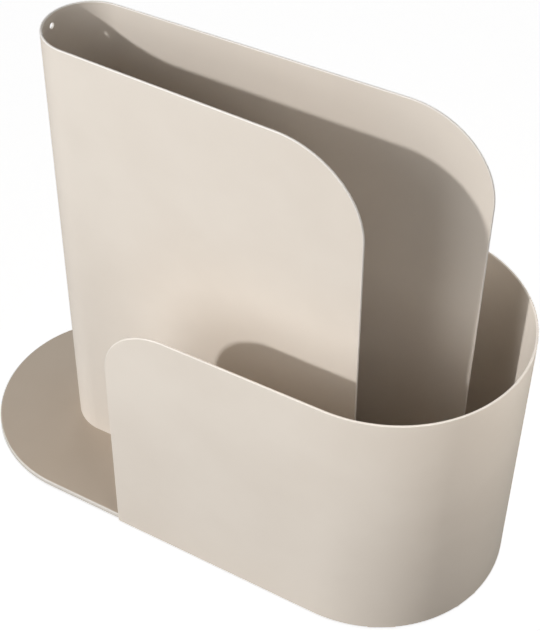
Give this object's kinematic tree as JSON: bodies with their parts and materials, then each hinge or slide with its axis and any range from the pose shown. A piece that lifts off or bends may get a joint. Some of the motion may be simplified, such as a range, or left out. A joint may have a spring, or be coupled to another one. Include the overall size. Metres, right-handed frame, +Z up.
{
  "type": "magazine holder",
  "caption": "Free-standing desk magazine holder of bent, powder-coated sheet steel: a tall narrow pocket inside a low rounded wall, on a flat base plate.",
  "frame": {"origin": "on the surface that the holder stands on, under the middle of its overall length and depth", "axes": "+X along the length towards the closed, rounded end of the low wall, -Y the front, +Z up"},
  "size_m": [0.281, 0.13, 0.2455],
  "materials": {
    "powder_coat": "matt powder coat, warm pale grey-beige, fine orange peel",
    "pad_rubber": "matt dark grey"
  },
  "bodies": {
    "root": {"base_plate": "powder_coat", "low_wall": "powder_coat", "pocket_wall": "powder_coat", "foot_pad_1": "pad_rubber", "foot_pad_2": "pad_rubber", "foot_pad_3": "pad_rubber", "foot_pad_4": "pad_rubber"}
  },
  "joints": []
}
